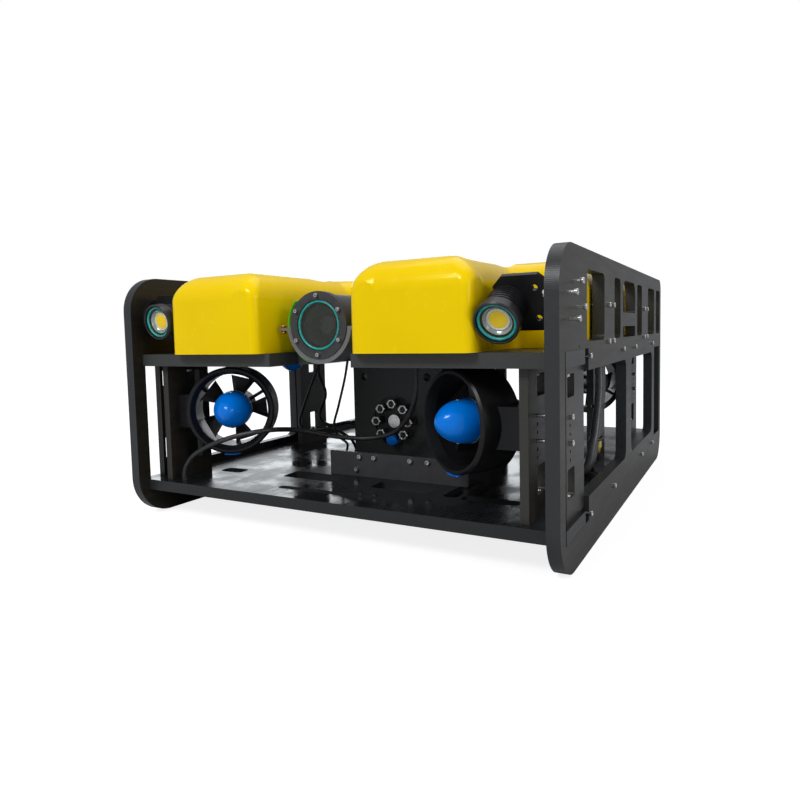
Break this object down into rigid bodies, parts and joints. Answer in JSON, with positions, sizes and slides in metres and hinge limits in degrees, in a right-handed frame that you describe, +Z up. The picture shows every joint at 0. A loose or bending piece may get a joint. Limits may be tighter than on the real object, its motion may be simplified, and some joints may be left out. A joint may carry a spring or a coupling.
{
  "type": "underwater inspection rov",
  "caption": "Open-frame underwater inspection vehicle with ducted thrusters, twin floats, camera pod and tilting lights on a slotted frame.",
  "frame": {"origin": "on the ground under the middle of the frame", "axes": "+Z up, -Y towards the front where the camera looks, +X to the side plate on the right of a viewer who faces the front"},
  "size_m": [0.654, 0.7802, 0.35],
  "materials": {
    "frame_black": "satin polyethylene board",
    "leg_black": "satin polyethylene board",
    "float_yellow": "gloss paint over foam",
    "cone_blue": "gloss moulded plastic",
    "blade_black": "moulded nylon",
    "duct_black": "moulded nylon",
    "anodised_black": "black anodised",
    "circuit_green": "circuit board",
    "port_black": "black anodised",
    "stainless": "bright",
    "port_glass": "clear",
    "seal_teal": "satin rubber",
    "clamp_grey": "grey anodised",
    "cradle_green": "printed plastic",
    "camera_black": "satin",
    "lamp_black": "black anodised",
    "lamp_glass": "clear",
    "led_yellow": "phosphor",
    "bracket_black": "satin",
    "rail_black": "black anodised",
    "cable_black": "satin jacket"
  },
  "bodies": {
    "root": {"side_plate_left": "frame_black", "side_plate_right": "frame_black", "upper_deck": "frame_black", "lower_deck": "frame_black", "outer_leg_left": "leg_black", "mid_leg_left": "leg_black", "inner_leg_front_left": "leg_black", "inner_leg_rear_left": "leg_black", "outer_leg_right": "leg_black", "mid_leg_right": "leg_black", "inner_leg_front_right": "leg_black", "inner_leg_rear_right": "leg_black", "float_left": "float_yellow", "float_right": "float_yellow", "thruster_front_left_duct": "duct_black", "thruster_front_right_duct": "duct_black", "thruster_rear_left_duct": "duct_black", "thruster_rear_right_duct": "duct_black", "thruster_lift_left_duct": "duct_black", "thruster_lift_right_duct": "duct_black", "bulkhead_front": "frame_black", "hull_cap_front": "anodised_black", "bulkhead_rear": "frame_black", "hull_cap_rear": "anodised_black", "hull_tube": "anodised_black", "electronics_tray": "circuit_green", "penetrators": "port_black", "vent_plug": "stainless", "camera_tube": "anodised_black", "camera_flange": "anodised_black", "camera_window": "port_glass", "camera_o_ring": "seal_teal", "camera_saddle": "clamp_grey", "camera_cradle": "cradle_green", "payload_rail": "rail_black", "cable": "cable_black", "cap_screws": "stainless"},
    "propeller_front_left": {"thruster_front_left_nose_cone": "cone_blue", "thruster_front_left_propeller": "blade_black"},
    "propeller_front_right": {"thruster_front_right_nose_cone": "cone_blue", "thruster_front_right_propeller": "blade_black"},
    "propeller_rear_left": {"thruster_rear_left_nose_cone": "cone_blue", "thruster_rear_left_propeller": "blade_black"},
    "propeller_rear_right": {"thruster_rear_right_nose_cone": "cone_blue", "thruster_rear_right_propeller": "blade_black"},
    "propeller_lift_left": {"thruster_lift_left_nose_cone": "cone_blue", "thruster_lift_left_propeller": "blade_black"},
    "propeller_lift_right": {"thruster_lift_right_nose_cone": "cone_blue", "thruster_lift_right_propeller": "blade_black"},
    "light_left": {"light_left_housing": "lamp_black", "light_left_lens": "lamp_glass", "light_left_led": "led_yellow", "light_left_o_ring": "seal_teal", "light_left_bracket": "bracket_black"},
    "light_right": {"light_right_housing": "lamp_black", "light_right_lens": "lamp_glass", "light_right_led": "led_yellow", "light_right_o_ring": "seal_teal", "light_right_bracket": "bracket_black"},
    "camera_module": {"camera_module": "camera_black"}
  },
  "joints": [
    {"name": "front_left_spin", "type": "hinge", "parent": "root", "child": "propeller_front_left", "pos_m": [-0.161, -0.346, 0.155], "axis": [0.5299, -0.848, 0], "continuous": true},
    {"name": "front_right_spin", "type": "hinge", "parent": "root", "child": "propeller_front_right", "pos_m": [0.161, -0.346, 0.155], "axis": [-0.5299, -0.848, 0], "continuous": true},
    {"name": "rear_left_spin", "type": "hinge", "parent": "root", "child": "propeller_rear_left", "pos_m": [-0.161, 0.346, 0.155], "axis": [0.5299, 0.848, 0], "continuous": true},
    {"name": "rear_right_spin", "type": "hinge", "parent": "root", "child": "propeller_rear_right", "pos_m": [0.161, 0.346, 0.155], "axis": [-0.5299, 0.848, 0], "continuous": true},
    {"name": "lift_left_spin", "type": "hinge", "parent": "root", "child": "propeller_lift_left", "pos_m": [-0.152, -0.208, 0.204], "axis": [0, 0, 1], "continuous": true},
    {"name": "lift_right_spin", "type": "hinge", "parent": "root", "child": "propeller_lift_right", "pos_m": [0.152, -0.208, 0.204], "axis": [0, 0, 1], "continuous": true},
    {"name": "light_left_tilt", "type": "hinge", "parent": "root", "child": "light_left", "pos_m": [-0.248, -0.34, 0.2908], "axis": [1, 0, 0], "range_deg": [-15, 15]},
    {"name": "light_right_tilt", "type": "hinge", "parent": "root", "child": "light_right", "pos_m": [0.248, -0.34, 0.2908], "axis": [1, 0, 0], "range_deg": [-15, 15]},
    {"name": "camera_tilt", "type": "hinge", "parent": "root", "child": "camera_module", "pos_m": [0, -0.298, 0.273], "axis": [1, 0, 0], "range_deg": [-25, 25]}
  ]
}
